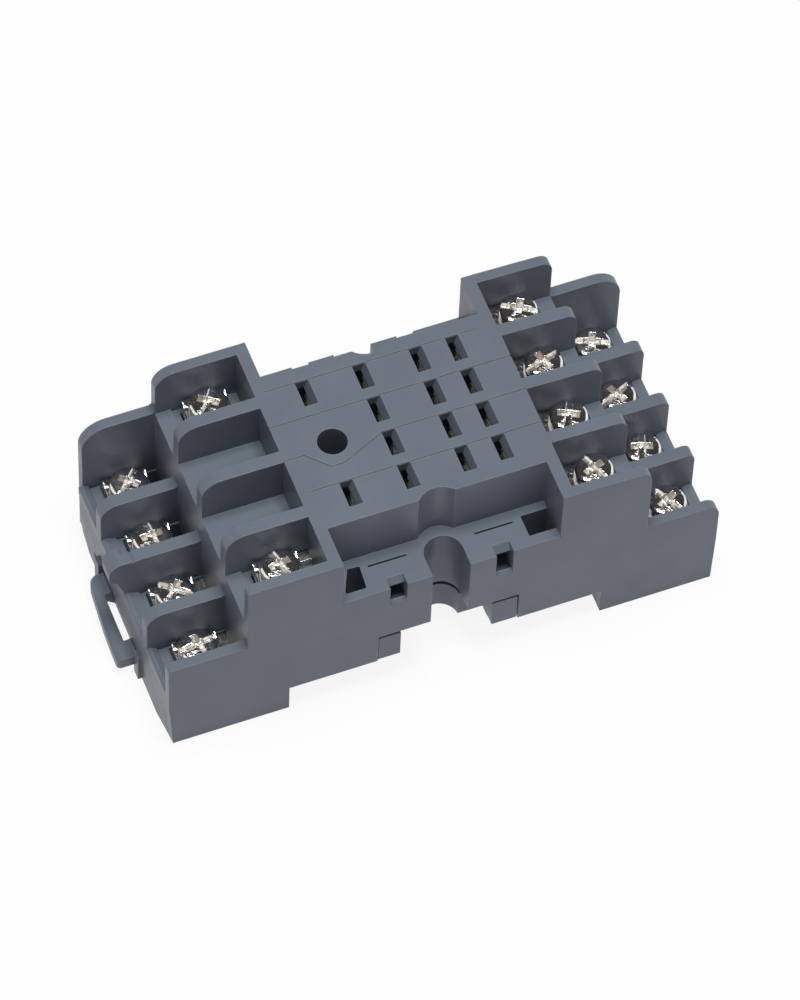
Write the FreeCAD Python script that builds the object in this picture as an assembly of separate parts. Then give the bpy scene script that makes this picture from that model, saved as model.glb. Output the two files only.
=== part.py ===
import FreeCAD, Part
import math
import os

# Screw-terminal socket for a fourteen-blade miniature relay, on a 35 mm rail.
# Millimetres. X runs across the rail, Y along it, Z up.
# Heights below are from the foot bottoms; the origin is moved to the rail seat on export.

# Main sizes
deck_z = 24.5
seat_z = 3.8
seat_half = 16.1
seat_relief = 0.3
rail_half = 17.575
left_x = -30.95
right_x = 30.45
back_left_x = left_x + 0.45
foot_draft = 0.18
low_bay_left = 8.65
low_bay_right = 8.2
up_bay_left = 9.05
up_bay_right = 8.6
tier_left = left_x + low_bay_left
tier_right = right_x - low_bay_right
tier_drop = 0.3
deck_left = tier_left + up_bay_left
deck_right = tier_right - up_bay_right
notch_x = 0.2

# Terminal bays, numbered from the back
bay_pitch = 7.15
rib = 1.45
bay_half = (bay_pitch - rib) / 2
wall_in = 1.5 * bay_pitch + bay_half
bay_y = [1.5 * bay_pitch, 0.5 * bay_pitch, -0.5 * bay_pitch, -1.5 * bay_pitch]
side_wall = 1.175
half_width = wall_in + side_wall
wall_left_z = 14.2
wall_right_z = 13.7
back_wall_left_z = 18.15
back_wall_right_z = 17.7
upper_lip_z = 18.0
blank_floor_z = 18.55
lip_in = 1.75
lip_left_z = 8.4
lip_right_z = 8.0
step_r = 0.5

# Corner radii of the walls: low left, low right, high left, high right
rib_radii = (2.0, 1.0, 2.3, 1.4)
back_radii = (3.0, 3.0, 2.3, 1.4)
front_radii = (0.3, 1.5, 0.3, 1.4)

# Middle wall's fin beyond the left end
fin_x = left_x - 2.05
fin_back = 1.5
fin_low_z = 8.9

# Joint between the housing and its base cover
clear = 0.075
cover_top = 7.7
ceiling_z = cover_top + 0.15
bar_z = 7.3
bar_t = 1.1
mouth_top = 8.4

# Contact strips and clamping screws
strip_t = 0.8
strip_w = 2.2
strip_gap = 0.1
low_plate_z = cover_top
up_plate_z = 18.4
plate_in = 2.6
plate_out = 2.2
plate_y = 5.0
low_screw_left = left_x + 4.65
low_screw_right = right_x - 4.15
up_screw_left = deck_left - 4.15
up_screw_right = deck_right + 3.75
nut_w = 4.4
nut_h = 1.8
nut_gap = 0.1
shank_r = 1.5
thread_gap = 0.05
shank_len = 5.0
pit_spare = 0.5
clamp_t = 0.65
clamp_drop = 0.6
clamp_gap = 0.05
head_r = 2.05
head_h = 2.3
ear_z = 0.35
ear_y = 1.0

# Jogs in the strips, where they swing out to the outer bays
jog_far_right = up_screw_right - plate_in - 2.85
jog_far_left = up_screw_left + plate_in + 3.75
jog_w = 1.2
jog_right = (jog_far_right - jog_w, jog_far_right)
jog_left = (jog_far_left + jog_w, jog_far_left)
jog_low = (18.0, 20.2)
jog_low_y = (8.2, 10.4)
jog_up_w = 1.15

# Blade slots: column centres, row centres, and which strip each feeds
row_y = [6.6, 2.2, -2.2, -6.6]
col_coil = -8.05
col_left = -1.7
col_mid = 4.6
col_right = 8.7
slot_x = 1.0
slot_lead = 0.5
slot_y = 3.1
chamber_x = 2.6
chamber_y = 4.0
chamber_top = 23.2
fork_dx = -0.25
fork_top = 23.0
leaf_t = 0.4
leaf_gap = 0.25
guide_hole_x = -7.65
guide_hole_r = 1.6
guide_hole_depth = 11.0
groove_w = 0.14
groove_depth = 0.1

# Mounting ledges, front and back alike
ledge_z = 17.2
ledge_y = 9.9
ledge_left = -11.9
ledge_right = 12.3
slit_w = 0.2
lug_gap = 0.35
notch_r = 2.1
notch_y = 12.4
head_room_r = 2.7
head_room_y = 11.7
window_x = 1.9
window_back = 11.6
window_sill = 0.45

# Rail latch
latch_mid = 0.7
latch_y = 5.5
latch_low = 0.1
latch_top = 2.6
tab_low = 1.0
tab_z = 2.5
latch_out = -33.05
latch_in = -16.4
flange_y = 6.5
flange_z = 1.6
flange_wall = 0.75
flange_out = left_x + flange_wall + 2.7
window_out = -26.9
window_in = -19.5
post_in = -25.8
latch_gap = 0.1
spring_strip = 0.25
spring_half = 1.1
spring_legs = 7


def box(x0, x1, y0, y1, z0, z1):
    corner = FreeCAD.Vector(min(x0, x1), min(y0, y1), min(z0, z1))
    return Part.makeBox(abs(x1 - x0), abs(y1 - y0), abs(z1 - z0), corner)


def both_sides(x0, x1, y0, y1, z0, z1):
    front = box(x0, x1, -y0, -y1, z0, z1)
    return front.fuse(box(x0, x1, y0, y1, z0, z1))


def rod_z(x, y, z0, z1, r):
    return Part.makeCylinder(r, z1 - z0, FreeCAD.Vector(x, y, z0))


def rounded_face(points, place):
    # points are (a, b, radius); place turns (a, b) into a vector
    edges = []
    starts = []
    ends = []
    count = len(points)
    for i in range(count):
        a, b, r = points[i]
        here = FreeCAD.Vector(a, b, 0)
        before = FreeCAD.Vector(points[i - 1][0], points[i - 1][1], 0)
        after = FreeCAD.Vector(points[(i + 1) % count][0], points[(i + 1) % count][1], 0)
        if r == 0:
            starts.append(here)
            ends.append(here)
            continue
        u = (before - here).normalize()
        v = (after - here).normalize()
        half = u.getAngle(v) / 2
        reach = r / math.tan(half)
        bisector = (u + v).normalize()
        centre = here + bisector * (r / math.sin(half))
        first = here + u * reach
        last = here + v * reach
        middle = centre - bisector * r
        starts.append(first)
        ends.append(last)
        arc = Part.Arc(place(first.x, first.y), place(middle.x, middle.y), place(last.x, last.y))
        edges.append(arc.toShape())
    for i in range(count):
        p = place(ends[i].x, ends[i].y)
        q = place(starts[(i + 1) % count].x, starts[(i + 1) % count].y)
        if p.distanceToPoint(q) > 0.0001:
            edges.append(Part.LineSegment(p, q).toShape())
    wire = Part.Wire(Part.__sortEdges__(edges))
    return Part.Face(wire)


def side_prism(points, y0, y1):
    face = rounded_face(points, lambda a, b: FreeCAD.Vector(a, y0, b))
    return face.extrude(FreeCAD.Vector(0, y1 - y0, 0))


def plan_prism(points, z0, z1):
    face = rounded_face(points, lambda a, b: FreeCAD.Vector(a, b, z0))
    return face.extrude(FreeCAD.Vector(0, 0, z1 - z0))


def small_rod(x, y, z0, z1, r):
    # twelve-sided stand-in for a shank or a thread's bore; r is to the flats
    corner = r / math.cos(math.pi / 12)
    points = []
    for i in range(12):
        a = 2 * math.pi * i / 12
        points.append((x + corner * math.cos(a), y + corner * math.sin(a), 0))
    return plan_prism(points, z0, z1)


def fuse_all(shapes):
    return shapes[0].multiFuse(shapes[1:]).removeSplitter()


def cut_all(shape, tools):
    for tool in tools:
        shape = shape.cut(tool)
    return shape


# Housing

def end_x(side):
    return right_x if side > 0 else left_x


def screw_x(side, upper):
    if upper:
        return up_screw_right if side > 0 else up_screw_left
    return low_screw_right if side > 0 else low_screw_left


def stepped_outline(outer_x, left_z, right_z, radii, bottom):
    top = [
        (outer_x, left_z, radii[0]),
        (tier_left, left_z, step_r),
        (tier_left, deck_z, radii[2]),
        (deck_right, deck_z, 0),
        (tier_right, deck_z - tier_drop, radii[3]),
        (tier_right, right_z, step_r),
        (right_x, right_z, radii[1]),
    ]
    return top + bottom


def inner_rib(y):
    bottom = [
        (right_x, bar_z, 0),
        (right_x - bar_t, bar_z, 0),
        (right_x - bar_t, ceiling_z, 0),
        (left_x + bar_t, ceiling_z, 0),
        (left_x + bar_t, bar_z, 0),
        (left_x, bar_z, 0),
    ]
    outline = stepped_outline(left_x, wall_left_z, wall_right_z, rib_radii, bottom)
    return side_prism(outline, y - rib / 2, y + rib / 2)


def outer_wall(y0, y1, outer_x, left_z, right_z, radii):
    bottom = [
        (right_x, bar_z, 0),
        (right_x - foot_draft, 0, 0),
        (rail_half, 0, 0),
        (rail_half, seat_z, 0),
        (-rail_half, seat_z, 0),
        (-rail_half, 0, 0),
        (outer_x, 0, 0),
    ]
    outline = stepped_outline(outer_x, left_z, right_z, radii, bottom)
    return side_prism(outline, y0, y1)


def middle_fin():
    # nose of the middle wall past the left end, swept back towards its rear face
    front = -rib / 2
    profile = [
        (left_x + 1, wall_left_z, 0),
        (fin_x + 0.35, wall_left_z, 1.6),
        (fin_x + 0.5, fin_low_z + 2.6, 0.4),
        (fin_x + 1.3, fin_low_z + 2.0, 0.4),
        (left_x, fin_low_z, 0),
        (left_x + 1, fin_low_z, 0),
    ]
    plan = [
        (left_x + 1, front, 0),
        (fin_x + 0.3, front, 0.3),
        (fin_x, front + 1.3, 0.4),
        (fin_x + 0.4, fin_back, 0.4),
        (left_x, fin_back, 0),
        (left_x, rib / 2, 0),
        (left_x + 1, rib / 2, 0),
    ]
    body = side_prism(profile, front - 1, fin_back + 1)
    return body.common(plan_prism(plan, fin_low_z - 1, wall_left_z + 1))


def lower_lip(side, y, inner):
    # end bar across the mouth of a lower bay, its top falling inwards
    end = end_x(side)
    bar = end - side * bar_t
    top = lip_right_z if side > 0 else lip_left_z
    outline = [
        (end, bar_z, 0),
        (end, top, 0),
        (end - side * 0.4, top + 0.2, 0),
        (bar - side * inner, max(top - 0.35, ceiling_z + 0.05), 0),
    ]
    if inner > 0:
        outline.append((bar - side * inner, ceiling_z, 0))
        outline.append((bar, ceiling_z, 0))
    outline.append((bar, bar_z, 0))
    return side_prism(outline, y - bay_half, y + bay_half)


def upper_pocket(x_wall, x_lip, y):
    # floor lies under the strip plate; the outer lip stays at its own height
    floor = up_plate_z - strip_t - clamp_gap
    return box(x_wall, x_lip, y - bay_half, y + bay_half, floor, deck_z)


def screw_pit(x, y, plate_top):
    # square well for the nut and the end of the screw
    head_under = plate_top + clamp_gap + clamp_drop + clamp_t + clamp_gap
    floor = head_under - shank_len - pit_spare
    half = nut_w / 2 + nut_gap
    return box(x - half, x + half, y - half, y + half, floor, plate_top)


def clip_window(side, x, low):
    # snap window in the face below a ledge: a slope above and a sill below a deeper hole
    tall = ledge_z - low
    hole_top = ledge_z - 0.25 * tall
    outline = [
        (half_width + 1, low, 0),
        (half_width, low, 0),
        (half_width - window_sill, low + window_sill, 0),
        (half_width - window_sill, low - window_sill, 0),
        (window_back, low - window_sill, 0),
        (window_back, hole_top, 0),
        (half_width - 0.85, hole_top, 0),
        (half_width - 1.45, ledge_z, 0),
        (half_width - 1.45, ledge_z + 1, 0),
        (half_width + 1, ledge_z + 1, 0),
    ]
    face = rounded_face(outline, lambda a, b: FreeCAD.Vector(x, side * a, b))
    return face.extrude(FreeCAD.Vector(window_x, 0, 0))


def strip_well(side, y):
    # open well between the screw pit and the upper tier, crossed by the strip
    x = screw_x(side, False)
    pit = screw_pit(x, y, low_plate_z).BoundBox
    half = plate_y / 2 + strip_gap
    tier = tier_right if side > 0 else tier_left
    return box(tier, x - side, y - half, y + half, pit.ZMin, cover_top + 1)


def ledge_cuts():
    tools = []
    tools.append(both_sides(ledge_left, ledge_right, ledge_y, 16, ledge_z, 30))
    tools.append(both_sides(notch_x - notch_r, notch_x + notch_r, notch_y, 16, 0, 30))
    tools.append(both_sides(-7.85, -3.58, 11.3 - slit_w / 2, 11.3 + slit_w / 2, 11.0, ledge_z))
    tools.append(both_sides(4.01, 8.28, 11.3 - slit_w / 2, 11.3 + slit_w / 2, 11.0, ledge_z))
    tools.append(both_sides(9.3, ledge_right, 10.9, 13.5, 11.0, ledge_z))
    for side in (-1, 1):
        tools.append(rod_z(notch_x, side * notch_y, 0, 30, notch_r))
        tools.append(rod_z(notch_x, side * head_room_y, ledge_z, 30, head_room_r))
        tools.append(clip_window(side, -6.6, 14.0))
        tools.append(clip_window(side, 5.2, 13.1))
        corners = [
            (-9.95, side * 10.88, 0),
            (-8.65, side * 11.0, 0),
            (-8.88, side * 13.7, 0.2),
            (-11.24, side * 13.7, 0.2),
        ]
        tools.append(plan_prism(corners, 11.0, ledge_z))
    # mouth under the notch that shows the cover and its lugs
    tools.append(both_sides(-7.7, 8.05, 12.15, 16, 0, mouth_top))
    tools.append(both_sides(notch_x - 3.0, notch_x + 3.0, 9.6, 12.2, 0, mouth_top))
    return tools


def slot_cuts(col, y):
    tools = []
    x0 = col - (slot_x + slot_lead) / 2
    x1 = x0 + slot_x
    tools.append(box(x0, x1, y - slot_y / 2, y + slot_y / 2, chamber_top - 0.5, deck_z + 1))
    lead = [(x1 - 0.1, chamber_top, 0), (x1, chamber_top, 0), (x1 + slot_lead, deck_z, 0)]
    lead.append((x1 - 0.1, deck_z, 0))
    tools.append(side_prism(lead, y - slot_y / 2, y + slot_y / 2))
    return tools


def groove(x0, y0, x1, y1):
    # shallow moulded line on the deck from one point to the other
    length = math.hypot(x1 - x0, y1 - y0)
    line = box(0, length, -groove_w / 2, groove_w / 2, deck_z - groove_depth, deck_z + 1)
    turn = math.degrees(math.atan2(y1 - y0, x1 - x0))
    line.rotate(FreeCAD.Vector(0, 0, 0), FreeCAD.Vector(0, 0, 1), turn)
    line.translate(FreeCAD.Vector(x0, y0, 0))
    return line


def deck_grooves():
    # one line along the back of each slot row; the third dips round the guide hole
    back = slot_y / 2
    tools = []
    tools.append(groove(deck_left + 1.2, row_y[0] + back, deck_right - 2.2, row_y[0] + back))
    tools.append(groove(deck_left, row_y[1] + back, deck_right, row_y[1] + back))
    tools.append(groove(deck_left + 1.0, row_y[3] + back, deck_right, row_y[3] + back))
    y = row_y[2] + back
    x = guide_hole_x
    path = [
        (deck_left, y),
        (x - 3.4, y),
        (x - 1.2, y - 2.25),
        (x + 0.3, y - 2.25),
        (x + 5.4, y),
        (deck_right, y),
    ]
    for (x0, y0), (x1, y1) in zip(path, path[1:]):
        tools.append(groove(x0, y0, x1, y1))
    return tools


def chamber(col, y, z0):
    return box(col - chamber_x / 2, col + chamber_x / 2,
               y - chamber_y / 2, y + chamber_y / 2, z0, chamber_top)


def corner_facets():
    # small three-sided facets at the foot corners of the latch end
    tools = []
    x = left_x - 0.01
    for side in (-1, 1):
        y = side * (half_width + 0.01)
        a = FreeCAD.Vector(x, side * 9.9, -0.01)
        b = FreeCAD.Vector(x, y, bar_z)
        c = FreeCAD.Vector(x + 0.45, y, -0.01)
        d = FreeCAD.Vector(x, y, -0.01)
        faces = []
        for trio in ((a, b, c), (a, b, d), (b, c, d), (a, c, d)):
            faces.append(Part.Face(Part.makePolygon(list(trio) + [trio[0]])))
        tools.append(Part.Solid(Part.Shell(faces)))
    return tools


def make_housing():
    pieces = []
    pieces.append(outer_wall(wall_in, half_width, back_left_x,
                             back_wall_left_z, back_wall_right_z, back_radii))
    pieces.append(outer_wall(-half_width, -wall_in, left_x,
                             wall_left_z, wall_right_z, front_radii))
    pieces.append(middle_fin())
    for k in (-1, 0, 1):
        pieces.append(inner_rib(k * bay_pitch))
    pieces.append(box(tier_left, tier_right, -wall_in, wall_in, ceiling_z, upper_lip_z))
    pieces.append(box(deck_left, deck_right, -wall_in, wall_in, upper_lip_z, deck_z))
    pieces.append(box(tier_left, deck_left, -bay_pitch, bay_pitch, upper_lip_z, blank_floor_z))
    for i in range(4):
        wide = i in (1, 2)
        pieces.append(lower_lip(-1, bay_y[i], 0.6 if wide else 0))
        pieces.append(lower_lip(1, bay_y[i], 0.1))
    body = fuse_all(pieces)
    tools = ledge_cuts()
    for y in (bay_y[0], bay_y[3]):
        tools.append(upper_pocket(tier_left + lip_in, deck_left, y))
        tools.append(screw_pit(up_screw_left, y, up_plate_z))
    for y in bay_y:
        tools.append(upper_pocket(deck_right, tier_right - lip_in, y))
        tools.append(screw_pit(up_screw_right, y, up_plate_z))
    tools += deck_grooves()
    for y in row_y:
        tools += slot_cuts(col_left, y) + slot_cuts(col_mid, y) + slot_cuts(col_right, y)
        tools.append(chamber(col_left, y, 0))
        tools.append(chamber(col_mid, y, 0))
        tools.append(chamber(col_right, y, up_plate_z - strip_t - clamp_gap))
    for y in (row_y[0], row_y[3]):
        tools += slot_cuts(col_coil, y)
        tools.append(chamber(col_coil, y, up_plate_z - strip_t - clamp_gap))
    tools.append(rod_z(guide_hole_x, 0, deck_z - guide_hole_depth, deck_z, guide_hole_r))
    # passages from the chambers to the upper pockets
    for i in range(4):
        tools += upper_run(col_right, row_y[i], 1, strip_gap)
    for i in (0, 3):
        tools += upper_run(col_coil, row_y[i], -1, strip_gap)
    tools += corner_facets()
    return cut_all(body, tools).removeSplitter()


# Contact strips

def run_legs(start, end, y_fork, y_bay, jog_near, jog_far, y0, y1, z_top, grow):
    # flat strip in plan from the fork to the bay, straight or with one jog
    z0 = z_top - strip_t - (grow and clamp_gap)
    z1 = z_top + grow
    s = 1 if y_fork > 0 else -1
    w = strip_w / 2 + grow
    if abs(abs(y_bay) - abs(y_fork)) < 2:
        return [box(start, end, y_fork - w, y_fork + w, z0, z1)]
    side = 1 if end > start else -1
    a = box(start, jog_far + side * grow, y_fork - w, y_fork + w, z0, z1)
    b = box(jog_near - side * grow, jog_far + side * grow,
            y_fork - s * w, s * (y1 + grow), z0, z1)
    c = box(jog_near - side * grow, end, s * (y0 - grow), s * (y1 + grow), z0, z1)
    return [a, b, c]


def upper_run(col, y_fork, side, grow):
    y_bay = 1.5 * bay_pitch if abs(y_fork) > 5 else 0.5 * bay_pitch
    fork = col + fork_dx
    end = screw_x(side, True) - side * (plate_in - 0.2)
    near, far = jog_right if side > 0 else jog_left
    inner = wall_in - 2 * bay_half + 0.1
    outer = inner + jog_up_w
    return run_legs(fork, end, y_fork, y_bay, near, far, inner, outer, up_plate_z, grow)


def lower_run(col, y_fork, side, grow):
    y_bay = 1.5 * bay_pitch if abs(y_fork) > 5 else 0.5 * bay_pitch
    fork = col + fork_dx
    end = screw_x(side, False) - side * (plate_in - 0.2)
    near = side * jog_low[0]
    far = side * jog_low[1]
    y0, y1 = jog_low_y
    return run_legs(fork, end, y_fork, y_bay, near, far, y0, y1, low_plate_z, grow)


def fork_solid(x, y, z_run, z_leaf):
    # stem up from the strip, then two spring leaves with flared tips
    parts = []
    half_w = strip_w / 2
    outer = leaf_gap + leaf_t
    if z_leaf > z_run + 0.01:
        parts.append(box(x - strip_t / 2, x + strip_t / 2, y - half_w, y + half_w,
                         z_run - strip_t, z_leaf))
        parts.append(box(x - outer, x + outer, y - half_w, y + half_w, z_leaf - 1.0, z_leaf))
    else:
        parts.append(box(x - outer, x + outer, y - half_w, y + half_w,
                         z_run - strip_t, z_run))
    for s in (-1, 1):
        leaf = [
            (x + s * leaf_gap, z_leaf - 0.2, 0),
            (x + s * leaf_gap, fork_top - 0.8, 0),
            (x + s * (leaf_gap + 0.2), fork_top, 0),
            (x + s * (outer + 0.2), fork_top, 0),
            (x + s * outer, fork_top - 0.8, 0),
            (x + s * outer, z_leaf - 0.2, 0),
        ]
        parts.append(side_prism(leaf, y - half_w + 0.2, y + half_w - 0.2))
    return parts


def make_terminal(col, y_fork, side, upper):
    y_bay = math.copysign(1.5 * bay_pitch if abs(y_fork) > 5 else 0.5 * bay_pitch, y_fork)
    z = up_plate_z if upper else low_plate_z
    x = screw_x(side, upper)
    if upper:
        pieces = upper_run(col, y_fork, side, 0)
        z_leaf = z
    else:
        pieces = lower_run(col, y_fork, side, 0)
        z_leaf = 17.5
    pieces += fork_solid(col + fork_dx, y_fork, z, z_leaf)
    hy = plate_y / 2
    half = nut_w / 2
    under = z - strip_t - nut_h
    pieces.append(box(x - side * plate_in, x + side * plate_out,
                      y_bay - hy, y_bay + hy, z - strip_t, z))
    # square nut pressed on below the plate
    pieces.append(box(x - half, x + half, y_bay - half, y_bay + half, under, z))
    body = fuse_all(pieces)
    hole = small_rod(x, y_bay, under - 1, z + 1, shank_r + thread_gap)
    return body.cut(hole).removeSplitter()


# Clamping plates and screws

def make_clamp(x, y, plate_top, side):
    # pressed plate: edges turned down on both sides, two ears turned up at the wire entry
    z0 = plate_top + clamp_gap
    z1 = z0 + clamp_drop
    z2 = z1 + clamp_t
    hy = plate_y / 2
    end = x + side * plate_out
    start = x - side * plate_in
    pieces = [box(start, end, y - hy, y + hy, z1, z2)]
    for s in (-1, 1):
        edge = [
            (y + s * hy, z0, 0),
            (y + s * hy, z1 + 0.1, 0),
            (y + s * (hy - 0.9), z1 + 0.1, 0),
            (y + s * (hy - 0.5), z0, 0),
        ]
        face = rounded_face(edge, lambda a, b: FreeCAD.Vector(start + side * 0.3, a, b))
        pieces.append(face.extrude(FreeCAD.Vector(end - start - side * 0.6, 0, 0)))
        ear = [
            (end - side * 0.7, z2 - 0.1, 0),
            (end - side * 0.1, z2 - 0.1, 0),
            (end, z2 + ear_z - 0.05, 0),
            (end - side * 0.45, z2 + ear_z, 0),
        ]
        pieces.append(side_prism(ear, y + s * (hy - ear_y), y + s * hy))
    body = fuse_all(pieces)
    body = body.cut(small_rod(x, y, z0 - 1, z2 + 1, shank_r + 0.2))
    return body.removeSplitter()


def make_screw(x, y, plate_top, turn):
    z = plate_top + clamp_gap + clamp_drop + clamp_t + clamp_gap
    top = z + head_h
    shank = small_rod(x, y, z - shank_len, z + 0.1, shank_r * math.cos(math.pi / 12))
    body = shank.fuse(rod_z(x, y, z, top, head_r))
    slot = box(x - 3, x + 3, y - 0.35, y + 0.35, top - 0.9, top + 1)
    cross = box(x - 0.35, x + 0.35, y - 1.25, y + 1.25, top - 1.3, top + 1)
    other = box(x - 1.25, x + 1.25, y - 0.35, y + 0.35, top - 1.3, top + 1)
    recess = fuse_all([slot, cross, other])
    recess.rotate(FreeCAD.Vector(x, y, 0), FreeCAD.Vector(0, 0, 1), turn)
    return body.cut(recess)


# Base cover

def lug(side, x0, x1):
    arm = box(x0, x1, side * 11.8, side * half_width, 4.05, cover_top)
    hook = box(x0, x1, side * (wall_in + clear), side * half_width, 4.05, mouth_top - lug_gap)
    return arm.fuse(hook)


def make_cover():
    y_in = wall_in - clear
    pieces = []
    pieces.append(box(-rail_half, rail_half, -y_in, y_in, seat_z, cover_top))
    for side in (-1, 1):
        end = end_x(side) - side * 0.05
        foot = end - foot_draft if side > 0 else end
        bar = end_x(side) - side * (bar_t + clear)
        outline = [
            (side * rail_half, 0, 0),
            (side * rail_half, cover_top, 0),
            (bar, cover_top, 0),
            (bar, bar_z - clear, 0),
            (end, bar_z - clear, 0),
            (foot, 0, 0),
        ]
        pieces.append(side_prism(outline, -y_in, y_in))
        pieces.append(lug_pair(side))
        # guide blocks beside the latch tab
        near = latch_mid + side * (latch_y + latch_gap)
        far = near + side * 1.2
        pieces.append(box(left_x - 0.4, left_x + 1, near, far, 0, 4.0))
    # fixed rail hooks opposite the latch
    for side in (-1, 1):
        hook = [
            (rail_half + 0.5, 0, 0),
            (rail_half - 0.7, 0, 0),
            (rail_half - 1.175, 0.5, 0),
            (rail_half - 1.175, 2.6, 0),
            (rail_half + 0.5, 2.6, 0),
        ]
        pieces.append(side_prism(hook, side * 2.5, side * 11.5))
    body = fuse_all(pieces)
    tools = []
    # shallow relief over the hooks, where the rail's edges tuck in
    for side in (-1, 1):
        tools.append(box(side * seat_half, side * rail_half, -half_width, half_width,
                         seat_z, seat_z + seat_relief))
    # edge set back between the lugs, with the half-round of each notch
    for side in (-1, 1):
        tools.append(box(-5.2, 5.1, side * 12.1, side * 16, 0, 10))
        tools.append(box(-7.7, -7.65, side * 12.1, side * 16, 0, 10))
        tools.append(box(7.9, 8.05, side * 12.1, side * 16, 0, 10))
        tools.append(rod_z(notch_x, side * 12.3, 0, 10, notch_r))
    # latch channel, open at the outer end and into the rail gap
    low = latch_y + latch_gap
    high = flange_y + latch_gap
    top = latch_top + latch_gap
    tools.append(box(left_x - 1, -rail_half + 1, latch_mid - low, latch_mid + low, -1, top))
    tools.append(box(left_x - 1, left_x + 0.9, latch_mid - low, latch_mid + low, -1, top + 0.5))
    tools.append(box(left_x + flange_wall, -rail_half + 1, latch_mid - high, latch_mid + high,
                     flange_z - latch_gap, top))
    tools.append(box(left_x - 1, left_x + 2.05, 7.6, 8.8, -1, 2.8))
    # hollow underside of the fixed foot
    tools.append(both_sides(19.4, 28.6, 2.0, 11.6, -1, 2.4))
    # grooves and pits for the lower strips
    g = strip_gap
    for i in range(4):
        for side, col in ((-1, col_left), (1, col_mid)):
            tools += lower_run(col, row_y[i], side, g)
            x = screw_x(side, False)
            fork = col + fork_dx
            half = leaf_gap + leaf_t + g
            wide = strip_w / 2 + g
            hy = plate_y / 2 + g
            z0 = low_plate_z - strip_t - clamp_gap
            z1 = cover_top + 1
            tools.append(box(fork - half, fork + half, row_y[i] - wide, row_y[i] + wide, z0, z1))
            tools.append(box(x - side * (plate_in + g), x + side * (plate_out + g),
                             bay_y[i] - hy, bay_y[i] + hy, z0, z1))
            tools.append(screw_pit(x, bay_y[i], low_plate_z))
            tools.append(strip_well(side, bay_y[i]))
    tools += corner_facets()
    body = cut_all(body, tools)
    post = box(window_out + latch_gap, post_in, latch_mid - 1.4, latch_mid + 1.4,
               0.4, latch_top + 0.5)
    return body.fuse(post).removeSplitter()


def lug_pair(side):
    return lug(side, -7.65, -5.2).fuse(lug(side, 5.1, 7.9))


# Rail latch and its spring

def make_latch():
    near = latch_mid - latch_y
    far = latch_mid + latch_y
    plan = [
        (latch_out + 0.5, far, 1.2),
        (latch_in, far, 0.3),
        (latch_in, near, 0.3),
        (latch_out - 0.1, near, 0.5),
        (latch_out - 0.1, near + 1.5, 0),
        (latch_out, latch_mid - 0.7, 0),
    ]
    side = [
        (latch_out - 0.2, tab_low, 0),
        (latch_out - 0.2, tab_z, 0.9),
        (left_x - 0.2, tab_z, 0),
        (left_x - 0.1, latch_top, 0),
        (latch_in - 0.9, latch_top, 0),
        (latch_in, latch_top - 0.5, 0),
        (latch_in, latch_low, 0),
        (left_x + 0.6, latch_low, 0),
        (left_x - 0.3, tab_low, 0),
    ]
    body = plan_prism(plan, latch_low, latch_top)
    body = body.common(side_prism(side, near - 1, far + 1))
    flanges = box(flange_out, -18.0, latch_mid - flange_y, latch_mid + flange_y, flange_z, latch_top)
    body = body.fuse(flanges)
    # screwdriver slot in the tab, then the window for the post and spring
    body = body.cut(box(left_x - 0.72, left_x + 0.45, -2.55, 3.5, -1, 4))
    body = body.cut(box(window_out, window_in, latch_mid - 1.6, latch_mid + 1.6, -1, 4))
    return body.removeSplitter()


def make_spring():
    # folded strip spring between the cover's post and the end of the window
    gap = 0.05
    z0 = latch_low + 0.3
    z1 = latch_top - 0.3
    t = spring_strip
    start = post_in + gap
    pitch = (window_in - gap - start - t) / (spring_legs - 1)
    low = latch_mid - spring_half
    high = latch_mid + spring_half
    pieces = []
    for i in range(spring_legs):
        x = start + i * pitch
        pieces.append(box(x, x + t, low, high, z0, z1))
        if i < spring_legs - 1:
            edge = high if i % 2 == 0 else low + t
            pieces.append(box(x, x + pitch + t, edge - t, edge, z0, z1))
    return fuse_all(pieces)


# Export

def save(name, shape):
    placed = shape.copy()
    placed.translate(FreeCAD.Vector(0, 0, -seat_z))
    placed.exportStep("parts/" + name + ".step")


def circuits():
    # number, slot column, row, side and tier of each terminal
    rows = []
    for i in range(4):
        rows.append((col_left, row_y[i], bay_y[i], -1, False))
    for i in (0, 3):
        rows.append((col_coil, row_y[i], bay_y[i], -1, True))
    for i in range(4):
        rows.append((col_right, row_y[i], bay_y[i], 1, True))
    for i in range(4):
        rows.append((col_mid, row_y[i], bay_y[i], 1, False))
    return rows


def main():
    os.makedirs("parts", exist_ok=True)
    save("housing", make_housing())
    save("base_cover", make_cover())
    save("din_latch", make_latch())
    save("latch_spring", make_spring())
    number = 0
    for col, y_fork, y_bay, side, upper in circuits():
        number += 1
        z = up_plate_z if upper else low_plate_z
        x = screw_x(side, upper)
        turn = (number * 47) % 180
        tag = "%02d" % number
        save("terminal_" + tag, make_terminal(col, y_fork, side, upper))
        save("clamp_" + tag, make_clamp(x, y_bay, z, side))
        save("screw_" + tag, make_screw(x, y_bay, z, turn))


main()
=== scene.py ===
import math

import bmesh
import bpy
from mathutils import Euler, Matrix, Vector


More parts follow.
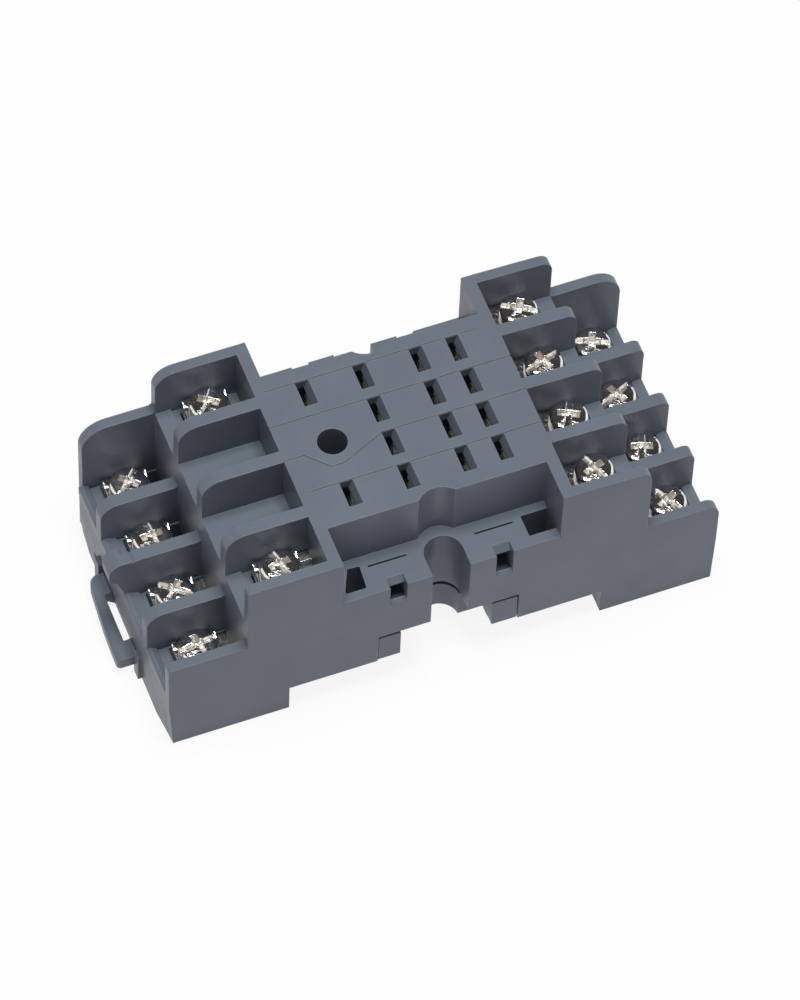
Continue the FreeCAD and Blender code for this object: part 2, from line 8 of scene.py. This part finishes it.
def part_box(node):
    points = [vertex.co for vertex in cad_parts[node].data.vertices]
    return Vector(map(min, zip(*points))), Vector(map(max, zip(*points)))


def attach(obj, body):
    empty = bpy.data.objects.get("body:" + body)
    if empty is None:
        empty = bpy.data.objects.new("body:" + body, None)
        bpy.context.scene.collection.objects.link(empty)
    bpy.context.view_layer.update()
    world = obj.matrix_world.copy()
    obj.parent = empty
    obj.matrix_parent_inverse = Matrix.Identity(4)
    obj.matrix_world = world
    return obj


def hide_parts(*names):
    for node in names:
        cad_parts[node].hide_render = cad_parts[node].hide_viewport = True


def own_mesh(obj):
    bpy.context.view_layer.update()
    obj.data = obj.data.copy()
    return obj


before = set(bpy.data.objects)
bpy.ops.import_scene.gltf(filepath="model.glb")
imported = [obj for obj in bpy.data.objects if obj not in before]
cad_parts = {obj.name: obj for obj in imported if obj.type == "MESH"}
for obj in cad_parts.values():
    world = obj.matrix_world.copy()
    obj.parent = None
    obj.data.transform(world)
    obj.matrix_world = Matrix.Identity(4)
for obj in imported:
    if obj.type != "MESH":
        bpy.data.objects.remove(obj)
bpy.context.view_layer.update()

MM = 0.001
WHITE = (1.0, 1.0, 1.0)
scene = bpy.context.scene


# Node helpers

# most of a noise's values lie between these two
NOISE_LOW = 0.3
NOISE_HIGH = 0.7
# cosine between a face's own normal and the rounded one, on a flat face and on an edge
FLAT_COSINE = 0.999
EDGE_COSINE = 0.90
EDGE_SAMPLES = 4
ROUND_SAMPLES = 6
# places of the colour sockets on a Mix node
MIX_A = 6
MIX_B = 7
MIX_RESULT = 2


def new_material(name):
    material = bpy.data.materials.new(name)
    material.use_nodes = True
    tree = material.node_tree
    return material, tree, tree.nodes["Principled BSDF"]


def object_coords(tree):
    return tree.nodes.new("ShaderNodeTexCoord").outputs["Object"]


def noise(tree, coords, scale, detail, rough):
    # coordinates are in metres, so the marks are about 1 / scale metres across
    node = tree.nodes.new("ShaderNodeTexNoise")
    node.inputs["Scale"].default_value = scale
    node.inputs["Detail"].default_value = detail
    node.inputs["Roughness"].default_value = rough
    tree.links.new(coords, node.inputs["Vector"])
    return node.outputs["Fac"]


def ramp(tree, value, stops):
    node = tree.nodes.new("ShaderNodeValToRGB")
    elements = node.color_ramp.elements
    while len(elements) < len(stops):
        elements.new(0.5)
    for element, (place, colour) in zip(elements, stops):
        element.position = place
        element.color = (*colour, 1.0)
    tree.links.new(value, node.inputs["Fac"])
    return node.outputs["Color"]


def spread(tree, value, low, high):
    node = tree.nodes.new("ShaderNodeMapRange")
    node.inputs["From Min"].default_value = NOISE_LOW
    node.inputs["From Max"].default_value = NOISE_HIGH
    node.inputs["To Min"].default_value = low
    node.inputs["To Max"].default_value = high
    tree.links.new(value, node.inputs["Value"])
    return node.outputs["Result"]


def calculate(tree, operation, *values):
    # each value is a number or another node's output
    node = tree.nodes.new("ShaderNodeMath")
    node.operation = operation
    for socket, value in zip(node.inputs, values):
        if isinstance(value, float):
            socket.default_value = value
        else:
            tree.links.new(value, socket)
    return node.outputs["Value"]


def mix(tree, factor, a, b):
    # a and b are each a colour or another node's output
    node = tree.nodes.new("ShaderNodeMix")
    node.data_type = "RGBA"
    tree.links.new(factor, node.inputs["Factor"])
    for socket, value in ((node.inputs[MIX_A], a), (node.inputs[MIX_B], b)):
        if isinstance(value, tuple):
            socket.default_value = (*value, 1.0)
        else:
            tree.links.new(value, socket)
    return node.outputs[MIX_RESULT]


def rounded_normal(tree, radius, samples=ROUND_SAMPLES):
    bevel = tree.nodes.new("ShaderNodeBevel")
    bevel.samples = samples
    bevel.inputs["Radius"].default_value = radius
    return bevel.outputs["Normal"]


def edge_mask(tree, radius):
    # 1 on convex and concave edges, 0 on flat faces
    plain = tree.nodes.new("ShaderNodeNewGeometry")
    dot = tree.nodes.new("ShaderNodeVectorMath")
    dot.operation = "DOT_PRODUCT"
    tree.links.new(rounded_normal(tree, radius, EDGE_SAMPLES), dot.inputs[0])
    tree.links.new(plain.outputs["Normal"], dot.inputs[1])
    out = tree.nodes.new("ShaderNodeMapRange")
    out.inputs["From Min"].default_value = FLAT_COSINE
    out.inputs["From Max"].default_value = EDGE_COSINE
    tree.links.new(dot.outputs["Value"], out.inputs["Value"])
    return out.outputs["Result"]


def bump(tree, height, strength, distance, normal):
    node = tree.nodes.new("ShaderNodeBump")
    node.inputs["Strength"].default_value = strength
    node.inputs["Distance"].default_value = distance
    tree.links.new(height, node.inputs["Height"])
    tree.links.new(normal, node.inputs["Normal"])
    return node.outputs["Normal"]


# Moulded plastic: cloudy and finely specked, with a painted highlight on the edges, a fine grain and
# slight waves

SPECK_SHARE = 0.18
# width, and least and most strength, of the painted highlight on the edges
HIGHLIGHT_WIDTH = 0.22 * MM
HIGHLIGHT_LEAST = 0.25
HIGHLIGHT_MOST = 0.75
PLASTIC_ROUND = 0.18 * MM
GRAIN_STRENGTH = 0.30
GRAIN_DEPTH = 0.02 * MM
WAVE_STRENGTH = 0.03
WAVE_DEPTH = 0.2 * MM
PLASTIC_IOR = 1.5
PLASTIC_SPECULAR = 0.25


def moulding(name, dark, light, painted_highlight, rough_low, rough_high):
    material, tree, shader = new_material(name)
    coords = object_coords(tree)
    cloud = noise(tree, coords, scale=90.0, detail=4.0, rough=0.6)
    body = ramp(tree, cloud, [(NOISE_LOW, dark), (NOISE_HIGH, light)])
    speck = noise(tree, coords, scale=1900.0, detail=2.0, rough=0.5)
    body = mix(tree, spread(tree, speck, 0.0, SPECK_SHARE), body, dark)
    patchy = noise(tree, coords, scale=700.0, detail=3.0, rough=0.6)
    # paler edges are a painted highlight on convex and concave edges alike, broken up by a patchy
    # noise
    painted_highlight_mask = calculate(tree, "MULTIPLY", edge_mask(tree, HIGHLIGHT_WIDTH),
                     spread(tree, patchy, HIGHLIGHT_LEAST, HIGHLIGHT_MOST))
    body = mix(tree, painted_highlight_mask, body, painted_highlight)
    tree.links.new(body, shader.inputs["Base Color"])
    smear = noise(tree, coords, scale=260.0, detail=5.0, rough=0.6)
    tree.links.new(spread(tree, smear, rough_low, rough_high), shader.inputs["Roughness"])
    grain = noise(tree, coords, scale=5200.0, detail=2.0, rough=0.5)
    waves = noise(tree, coords, scale=160.0, detail=2.0, rough=0.4)
    normal = rounded_normal(tree, PLASTIC_ROUND)
    normal = bump(tree, grain, GRAIN_STRENGTH, GRAIN_DEPTH, normal)
    normal = bump(tree, waves, WAVE_STRENGTH, WAVE_DEPTH, normal)
    tree.links.new(normal, shader.inputs["Normal"])
    shader.inputs["IOR"].default_value = PLASTIC_IOR
    shader.inputs["Specular IOR Level"].default_value = PLASTIC_SPECULAR
    return material


# the paler third colour is painted onto the edges as a highlight
BODY_PLASTIC = {"dark": (0.138, 0.160, 0.190), "light": (0.158, 0.183, 0.215),
                "painted_highlight": (0.24, 0.27, 0.30), "rough_low": 0.30, "rough_high": 0.42}
COVER_PLASTIC = {"dark": (0.130, 0.152, 0.180), "light": (0.150, 0.175, 0.205),
                 "painted_highlight": (0.22, 0.25, 0.28), "rough_low": 0.32, "rough_high": 0.44}

housing_mat = moulding("housing_moulding", **BODY_PLASTIC)
latch_mat = moulding("latch_moulding", **BODY_PLASTIC)
cover_mat = moulding("cover_moulding", **COVER_PLASTIC)


# Bright metal: cloudy plating with fine brushed lines and shallow dents

DULL_PLACE = 0.32
BRIGHT_PLACE = 0.62
THROWN_ROUGH = 0.5
METAL_ROUND = 0.12 * MM
LINE_STRENGTH = 0.10
LINE_DEPTH = 0.02 * MM
DENT_DEPTH = 0.15 * MM


def plated(name, bright, dull, rough_low, rough_high, brush, dent):
    # brush is how much finer the lines are along Y; dent is the strength of the dents
    material, tree, shader = new_material(name)
    coords = object_coords(tree)
    cloud = noise(tree, coords, scale=420.0, detail=4.0, rough=0.6)
    body = ramp(tree, cloud, [(DULL_PLACE, dull), (BRIGHT_PLACE, bright)])
    tree.links.new(body, shader.inputs["Base Color"])
    shader.inputs["Metallic"].default_value = 1.0
    smear = noise(tree, coords, scale=900.0, detail=4.0, rough=0.6)
    # light that the metal throws onto the walls is spread, so no hard spots form there
    path = tree.nodes.new("ShaderNodeLightPath")
    thrown = calculate(tree, "MAXIMUM", path.outputs["Is Diffuse Ray"], path.outputs["Is Glossy Ray"])
    rough = calculate(tree, "MULTIPLY_ADD", thrown, THROWN_ROUGH,
                      spread(tree, smear, rough_low, rough_high))
    tree.links.new(rough, shader.inputs["Roughness"])
    stretch = tree.nodes.new("ShaderNodeMapping")
    stretch.inputs["Scale"].default_value = (1.0, brush, 1.0)
    tree.links.new(coords, stretch.inputs["Vector"])
    lines = noise(tree, stretch.outputs["Vector"], scale=1500.0, detail=3.0, rough=0.6)
    dents = noise(tree, coords, scale=1250.0, detail=2.0, rough=0.6)
    normal = rounded_normal(tree, METAL_ROUND)
    normal = bump(tree, lines, LINE_STRENGTH, LINE_DEPTH, normal)
    normal = bump(tree, dents, dent, DENT_DEPTH, normal)
    tree.links.new(normal, shader.inputs["Normal"])
    return material


screw_mat = plated("terminal_screw", bright=(0.90, 0.89, 0.88), dull=(0.66, 0.57, 0.52),
                   rough_low=0.05, rough_high=0.13, brush=1.0, dent=0.7)
clamp_mat = plated("clamp_plate", bright=(0.84, 0.83, 0.81), dull=(0.62, 0.55, 0.50),
                   rough_low=0.08, rough_high=0.18, brush=6.0, dent=0.6)
strip_mat = plated("contact_strip", bright=(0.74, 0.72, 0.68), dull=(0.56, 0.53, 0.48),
                   rough_low=0.16, rough_high=0.34, brush=8.0, dent=0.2)
spring_mat = plated("spring_steel", bright=(0.60, 0.60, 0.62), dull=(0.44, 0.44, 0.46),
                    rough_low=0.20, rough_high=0.34, brush=10.0, dent=0.1)


# Mesh helpers

NORMAL_WEIGHT = 60


def add_object(name, data):
    thing = bpy.data.objects.new(name, data)
    scene.collection.objects.link(thing)
    return thing


def mesh_from(bm, name):
    mesh = bpy.data.meshes.new(name)
    bm.to_mesh(mesh)
    bm.free()
    return mesh


def round_edges(piece, width, segments, degrees):
    edge = piece.modifiers.new("Edge", "BEVEL")
    edge.width = width
    edge.segments = segments
    edge.limit_method = "ANGLE"
    edge.angle_limit = math.radians(degrees)
    return edge


def cut_out(piece, tool):
    cut = piece.modifiers.new("Cut", "BOOLEAN")
    cut.operation = "DIFFERENCE"
    cut.solver = "EXACT"
    cut.object = tool


def worked_mesh(piece, tools):
    # the piece's mesh with its modifiers applied; the piece and its tools are taken away
    bpy.context.view_layer.update()
    shaped = bpy.data.meshes.new_from_object(
        piece.evaluated_get(bpy.context.evaluated_depsgraph_get()))
    for thing in [*tools, piece]:
        bpy.data.objects.remove(thing)
    return shaped


def sharpen(bm, degrees):
    # smooth faces, with a sharp edge wherever they turn by more than this
    limit = math.radians(degrees)
    for face in bm.faces:
        face.smooth = True
    for edge in bm.edges:
        edge.smooth = len(edge.link_faces) == 2 and edge.calc_face_angle(0.0) < limit


def even_normals(piece):
    # large faces keep their own normals beside narrow rounded edges
    weights = piece.modifiers.new("Normals", "WEIGHTED_NORMAL")
    weights.mode = "FACE_AREA_WITH_ANGLE"
    weights.weight = NORMAL_WEIGHT
    weights.keep_sharp = True


# The frame's own parts, with rounded edges

WELD_DISTANCE = 0.002 * MM
ROUND_ABOVE = 28.0
SPRING_ROUND = 0.04 * MM


def dress(piece, material, width, segments):
    piece.data.materials.clear()
    piece.data.materials.append(material)
    for face in piece.data.polygons:
        face.use_smooth = False
    weld = piece.modifiers.new("Weld", "WELD")
    weld.merge_threshold = WELD_DISTANCE
    edge = round_edges(piece, width, segments, ROUND_ABOVE)
    edge.miter_outer = "MITER_ARC"


# material, width of the rounded edges and their segments
looks = {
    "housing": (housing_mat, 0.18 * MM, 2),
    "base_cover": (cover_mat, 0.12 * MM, 1),
    "din_latch": (latch_mat, 0.20 * MM, 3),
    "terminal": (strip_mat, 0.05 * MM, 1),
}
for name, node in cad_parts.items():
    if name in looks:
        dress(node, *looks[name])
    elif name.startswith("terminal_"):
        dress(node, *looks["terminal"])


# Terminal screws: domed head, slot crossed by a recess, M3 thread

HEAD_R = 2.05 * MM
HEAD_H = 2.3 * MM
HEAD_SEAT_R = 1.6 * MM
HEAD_CHAMFER = 0.15 * MM
HEAD_RIM = 0.42 * MM
HEAD_CROWN = 0.13 * MM
HEAD_EDGE = 0.05 * MM
HEAD_STEPS = 64
RIM_START = 15
RIM_END = 80
RIM_STEPS = 5
CROWN_SHARES = (0.75, 0.5, 0.25)

# the drive's cutters in millimetres; the tapers are what each end and side loses at the foot
SLOT_CUTTER = {"reach": 2.6, "half_width": 0.37, "depth": 0.85,
               "end_taper": 0.0, "side_taper": 0.012}
CROSS_CUTTER = {"reach": 1.3, "half_width": 0.40, "depth": 1.35,
                "end_taper": 0.48, "side_taper": 0.096}
CUTTER_ABOVE = 0.4

THREAD_CREST_R = 1.49 * MM
THREAD_ROOT_R = 1.2 * MM
THREAD_PITCH = 0.5 * MM
THREAD_TOP = -0.25 * MM
THREAD_STEPS = 32
# share of the pitch, and the radius there
THREAD_FORM = [(0.0, THREAD_ROOT_R), (0.12, THREAD_ROOT_R),
               (0.46, THREAD_CREST_R), (0.62, THREAD_CREST_R)]
SHANK_LENGTH = 5.0 * MM
TIP_R = 0.95 * MM
TIP_LENGTH = 0.3 * MM
NECK_FLARE = 0.1 * MM
NECK_IN_HEAD = 0.02 * MM
SAME_POINT = 0.001 * MM
SCREW_SHARP_ABOVE = 32
# each screw is turned this many degrees further than the one before
SCREW_TURN = 47
HALF_TURN = 180


def spun(bm, profile, steps):
    # rings of vertices round Z; a radius of 0 gives one point
    rings = []
    for r, z in profile:
        if r == 0:
            rings.append([bm.verts.new((0, 0, z))])
            continue
        ring = []
        for j in range(steps):
            a = 2 * math.pi * j / steps
            ring.append(bm.verts.new((r * math.cos(a), r * math.sin(a), z)))
        rings.append(ring)
    for low, high in zip(rings, rings[1:]):
        for j in range(steps):
            k = (j + 1) % steps
            if len(low) == 1:
                bm.faces.new((low[0], high[k], high[j]))
            elif len(high) == 1:
                bm.faces.new((low[j], low[k], high[0]))
            else:
                bm.faces.new((low[j], low[k], high[k], high[j]))


def arc(cx, cz, r, start, end, count):
    points = []
    for i in range(count + 1):
        a = math.radians(start + (end - start) * i / count)
        points.append((cx + r * math.cos(a), cz + r * math.sin(a)))
    return points


def head_profile():
    side_top = HEAD_H - HEAD_CROWN - HEAD_RIM
    profile = [(0, 0), (HEAD_SEAT_R, 0), (HEAD_R - HEAD_CHAMFER, 0)]
    profile += [(HEAD_R, HEAD_CHAMFER), (HEAD_R, side_top)]
    profile += arc(HEAD_R - HEAD_RIM, side_top, HEAD_RIM, RIM_START, RIM_END, RIM_STEPS)
    last_r, last_z = profile[-1]
    for share in CROWN_SHARES:
        profile.append((last_r * share, HEAD_H - (HEAD_H - last_z) * share * share))
    profile.append((0, HEAD_H))
    return profile


def drive_cutter(turn, reach, half_width, depth, end_taper, side_taper):
    # a bar along X, narrower at its foot, turned about the screw's axis
    bm = bmesh.new()
    bmesh.ops.create_cube(bm, size=2.0)
    for vert in bm.verts:
        at_foot = vert.co.z < 0
        x = (reach - end_taper * at_foot) * vert.co.x
        y = (half_width - side_taper * at_foot) * vert.co.y
        z = HEAD_H / MM + (-depth if at_foot else CUTTER_ABOVE)
        vert.co = Vector((x, y, z)) * MM
    bmesh.ops.rotate(bm, verts=bm.verts, cent=(0, 0, 0),
                     matrix=Matrix.Rotation(math.radians(turn), 3, "Z"))
    return add_object("drive_tool", mesh_from(bm, "drive"))


def screw_head():
    # revolved head with its origin under the head, then the drive cut out
    bm = bmesh.new()
    spun(bm, head_profile(), HEAD_STEPS)
    head = add_object("head_tool", mesh_from(bm, "head"))
    tools = [drive_cutter(0, **SLOT_CUTTER), drive_cutter(0, **CROSS_CUTTER),
             drive_cutter(90, **CROSS_CUTTER)]
    for tool in tools:
        cut_out(head, tool)
    round_edges(head, HEAD_EDGE, segments=2, degrees=35)
    return worked_mesh(head, tools)


def thread_rows(bm, low, high, steps):
    # rows follow the helix and are pressed flat onto both ends
    turns = math.ceil((high - low) / THREAD_PITCH) + 1
    rows = []
    for turn in range(-1, turns):
        for part, radius in THREAD_FORM:
            row = []
            for j in range(steps + 1):
                z = low + THREAD_PITCH * (turn + part + j / steps)
                r = radius
                if z <= low or z >= high:
                    z = min(max(z, low), high)
                    r = THREAD_ROOT_R
                a = 2 * math.pi * j / steps
                row.append(bm.verts.new((r * math.cos(a), r * math.sin(a), z)))
            rows.append(row)
    for a, b in zip(rows, rows[1:]):
        for j in range(steps):
            bm.faces.new((a[j], a[j + 1], b[j + 1], b[j]))


def screw_mesh():
    bm = bmesh.new()
    bm.from_mesh(screw_head())
    tip = -SHANK_LENGTH
    thread_rows(bm, tip + TIP_LENGTH, THREAD_TOP, THREAD_STEPS)
    spun(bm, [(0, tip), (TIP_R, tip), (THREAD_ROOT_R, tip + TIP_LENGTH)], THREAD_STEPS)
    spun(bm, [(THREAD_ROOT_R, THREAD_TOP), (THREAD_ROOT_R + NECK_FLARE, NECK_IN_HEAD)],
         THREAD_STEPS)
    bmesh.ops.remove_doubles(bm, verts=bm.verts, dist=SAME_POINT)
    bmesh.ops.recalc_face_normals(bm, faces=bm.faces)
    sharpen(bm, SCREW_SHARP_ABOVE)
    return mesh_from(bm, "terminal_screw")


def make_screws():
    shared = screw_mesh()
    for name in sorted(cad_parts):
        if not name.startswith("screw_"):
            continue
        low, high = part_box(name)
        degrees = int(name[-2:]) * SCREW_TURN % HALF_TURN
        mesh = shared.copy()
        mesh.transform(Matrix.Rotation(math.radians(degrees), 4, "Z"))
        piece = add_object("detail_" + name, mesh)
        piece.location = ((low.x + high.x) / 2, (low.y + high.y) / 2, high.z - HEAD_H)
        even_normals(piece)
        mesh.materials.append(screw_mat)
        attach(piece, name)
        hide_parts(name)


make_screws()


# Clamp plates: pressed saddles with turned-down sides and four turned-up corners

# from the screw's axis to the inner end, the outer end and either side
CLAMP_IN = 2.6 * MM
CLAMP_OUT = 2.2 * MM
CLAMP_SIDE = 2.5 * MM
CLAMP_T = 0.65 * MM
CLAMP_STEPS = 26
CLAMP_EDGE = 0.09 * MM
CLAMP_SHARP_ABOVE = 40
# the sides turn down by this much, between these two distances from the side
SIDE_DROP = 0.6 * MM
SIDE_START = 0.95 * MM
SIDE_END = 0.55 * MM
# the corners rise by this much, over this length, between these two distances from the side
CORNER_RISE = 0.33 * MM
CORNER_LENGTH = 0.75 * MM
CORNER_START = 1.15 * MM
CORNER_END = 0.25 * MM
# share of the turned-down side that is missing below a corner
CORNER_GAP = 0.9
# the top's edge along each side falls off over this width, by this much
SHOULDER_WIDTH = 0.45 * MM
SHOULDER_DROP = 0.16 * MM
# share by which the plate is shorter along its sides
SIDE_SHORTER = 0.03
HOLE_R = 1.7 * MM
HOLE_DEPTH = 6 * MM
HOLE_STEPS = 40


def smooth_step(low, high, value):
    t = min(max((value - low) / (high - low), 0.0), 1.0)
    return t * t * (3 - 2 * t)


def clamp_points(x, y):
    # the plate's top point and the point under it
    side = abs(y)
    end = max(smooth_step(CLAMP_OUT - CORNER_LENGTH, CLAMP_OUT, x),
              smooth_step(CLAMP_IN - CORNER_LENGTH, CLAMP_IN, -x))
    corner = end * smooth_step(CLAMP_SIDE - CORNER_START, CLAMP_SIDE - CORNER_END, side)
    shoulder = smooth_step(CLAMP_SIDE - SHOULDER_WIDTH, CLAMP_SIDE, side)
    turned = smooth_step(CLAMP_SIDE - SIDE_START, CLAMP_SIDE - SIDE_END, side)
    x *= 1 - SIDE_SHORTER * shoulder
    top = SIDE_DROP + CLAMP_T + CORNER_RISE * corner - SHOULDER_DROP * shoulder
    under = SIDE_DROP * (1 - turned * (1 - CORNER_GAP * corner))
    return (x, y, top), (x, y, under)


def clamp_plate():
    # closed sheet with its origin at the screw's axis on the strip below; +X is the wire's side
    steps = CLAMP_STEPS
    bm = bmesh.new()
    top, under = [], []
    for i in range(steps + 1):
        x = -CLAMP_IN + (CLAMP_IN + CLAMP_OUT) * i / steps
        top_row, under_row = [], []
        for j in range(steps + 1):
            y = -CLAMP_SIDE + 2 * CLAMP_SIDE * j / steps
            top_point, under_point = clamp_points(x, y)
            top_row.append(bm.verts.new(top_point))
            under_row.append(bm.verts.new(under_point))
        top.append(top_row)
        under.append(under_row)
    for i in range(steps):
        for j in range(steps):
            bm.faces.new((top[i][j], top[i + 1][j], top[i + 1][j + 1], top[i][j + 1]))
            bm.faces.new((under[i][j], under[i][j + 1], under[i + 1][j + 1], under[i + 1][j]))
    border = [(i, 0) for i in range(steps)] + [(steps, j) for j in range(steps)]
    border += [(i, steps) for i in range(steps, 0, -1)] + [(0, j) for j in range(steps, 0, -1)]
    for (a, b), (c, d) in zip(border, border[1:] + border[:1]):
        bm.faces.new((under[a][b], under[c][d], top[c][d], top[a][b]))
    bmesh.ops.recalc_face_normals(bm, faces=bm.faces)
    return add_object("plate_tool", mesh_from(bm, "plate"))


def clamp_mesh():
    plate = clamp_plate()
    bm = bmesh.new()
    bmesh.ops.create_cone(bm, cap_ends=True, segments=HOLE_STEPS, radius1=HOLE_R, radius2=HOLE_R,
                          depth=HOLE_DEPTH)
    hole = add_object("hole_tool", mesh_from(bm, "hole"))
    cut_out(plate, hole)
    round_edges(plate, CLAMP_EDGE, segments=2, degrees=50)
    bm = bmesh.new()
    bm.from_mesh(worked_mesh(plate, [hole]))
    sharpen(bm, CLAMP_SHARP_ABOVE)
    return mesh_from(bm, "clamp_plate")


def make_clamps():
    shared = clamp_mesh()
    for name in sorted(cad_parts):
        if not name.startswith("clamp_"):
            continue
        low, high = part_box(name)
        mesh = shared.copy()
        if low.x < 0:
            mesh.transform(Matrix.Rotation(math.pi, 4, "Z"))
            x = high.x - CLAMP_IN
        else:
            x = low.x + CLAMP_IN
        piece = add_object("detail_" + name, mesh)
        piece.location = (x, (low.y + high.y) / 2, low.z)
        even_normals(piece)
        mesh.materials.append(clamp_mat)
        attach(piece, name)
        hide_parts(name)


make_clamps()


# Return spring: the CAD spring's mesh with rounded edges, carried with the base


def make_spring():
    piece = add_object("detail_latch_spring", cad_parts["latch_spring"].data.copy())
    dress(piece, spring_mat, SPRING_ROUND, segments=1)
    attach(piece, "base")
    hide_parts("latch_spring")
    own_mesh(piece)


make_spring()


# Floor: white to the camera and in reflections, but for the share that keeps the shadow

FLOOR_SIZE = 3.0
FLOOR_GAP = 0.02 * MM
FLOOR_COLOUR = (0.95, 0.95, 0.95)
FLOOR_ROUGH = 0.9
FLOOR_GLOW_SHARE = 0.9


def make_floor():
    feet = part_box("base_cover")[0].z
    bpy.ops.mesh.primitive_plane_add(size=FLOOR_SIZE, location=(0, 0, feet - FLOOR_GAP))
    floor = bpy.context.object
    floor.name = "floor"
    material, tree, shader = new_material("floor_white")
    shader.inputs["Base Color"].default_value = (*FLOOR_COLOUR, 1.0)
    shader.inputs["Roughness"].default_value = FLOOR_ROUGH
    glow = tree.nodes.new("ShaderNodeEmission")
    glow.inputs["Strength"].default_value = 1.0
    path = tree.nodes.new("ShaderNodeLightPath")
    seen = calculate(tree, "MAXIMUM", path.outputs["Is Camera Ray"], path.outputs["Is Glossy Ray"])
    blend = tree.nodes.new("ShaderNodeMixShader")
    tree.links.new(calculate(tree, "MULTIPLY", seen, FLOOR_GLOW_SHARE), blend.inputs["Fac"])
    tree.links.new(shader.outputs["BSDF"], blend.inputs[1])
    tree.links.new(glow.outputs["Emission"], blend.inputs[2])
    tree.links.new(blend.outputs["Shader"], tree.nodes["Material Output"].inputs["Surface"])
    floor.data.materials.append(material)


make_floor()


# World: white to the camera; reflections see white walls and a dark ceiling with a white middle

DULL_LIGHT_TINT = (1.26, 0.86, 1.24)
DULL_LIGHT_LEVEL = 0.16
CEILING_GREY = (0.16, 0.16, 0.16)
CEILING_DARK = (0.05, 0.05, 0.05)
# height in the room, from 0 at the horizon to 1 overhead, and the shade there
CEILING = [(0.46, WHITE), (0.58, CEILING_GREY), (0.70, CEILING_DARK), (0.93, CEILING_DARK),
           (0.965, WHITE)]


def make_world():
    world = bpy.data.worlds.new("studio")
    scene.world = world
    world.use_nodes = True
    tree = world.node_tree
    back = tree.nodes["Background"]
    path = tree.nodes.new("ShaderNodeLightPath")
    tint = mix(tree, path.outputs["Is Diffuse Ray"], WHITE, DULL_LIGHT_TINT)
    tree.links.new(tint, back.inputs["Color"])
    coords = tree.nodes.new("ShaderNodeTexCoord")
    split = tree.nodes.new("ShaderNodeSeparateXYZ")
    tree.links.new(coords.outputs["Generated"], split.inputs["Vector"])
    ceiling = ramp(tree, split.outputs["Z"], CEILING)
    mirrored = calculate(tree, "MULTIPLY", path.outputs["Is Glossy Ray"], ceiling)
    seen = calculate(tree, "MAXIMUM", path.outputs["Is Camera Ray"], mirrored)
    level = calculate(tree, "MULTIPLY_ADD", path.outputs["Is Diffuse Ray"], DULL_LIGHT_LEVEL, seen)
    tree.links.new(level, back.inputs["Strength"])


make_world()


# Lamps, both aimed at the middle of the socket

LAMP_TARGET = Vector((0, 0, 0.01))


def area_light(name, place, size, power, colour):
    data = bpy.data.lights.new(name, "AREA")
    data.shape = "SQUARE"
    data.size = size
    data.energy = power
    data.color = colour
    lamp = add_object(name, data)
    lamp.location = place
    aim = LAMP_TARGET - Vector(place)
    lamp.rotation_euler = aim.to_track_quat("-Z", "Y").to_euler()


area_light("key", place=(0.0, -0.02, 0.60), size=0.25, power=3.12, colour=(0.92, 1.0, 0.99))
area_light("left", place=(-0.70, -0.15, 0.12), size=0.45, power=0.2, colour=(1.0, 0.96, 1.04))


# Camera

CAMERA_PLACE = (-0.153552, -0.360655, 0.605531)
CAMERA_TURN_DEGREES = (33.1326, -1.4687, -20.8483)
LENS_MM = 244.306
SENSOR_MM = 36.0
NEAREST = 0.05
FARTHEST = 20.0

camera_data = bpy.data.cameras.new("camera")
camera_data.lens = LENS_MM
camera_data.sensor_width = SENSOR_MM
camera_data.clip_start = NEAREST
camera_data.clip_end = FARTHEST
camera = add_object("camera", camera_data)
camera.location = CAMERA_PLACE
camera.rotation_euler = Euler([math.radians(turn) for turn in CAMERA_TURN_DEGREES], "XYZ")
scene.camera = camera

scene.view_settings.view_transform = "Standard"
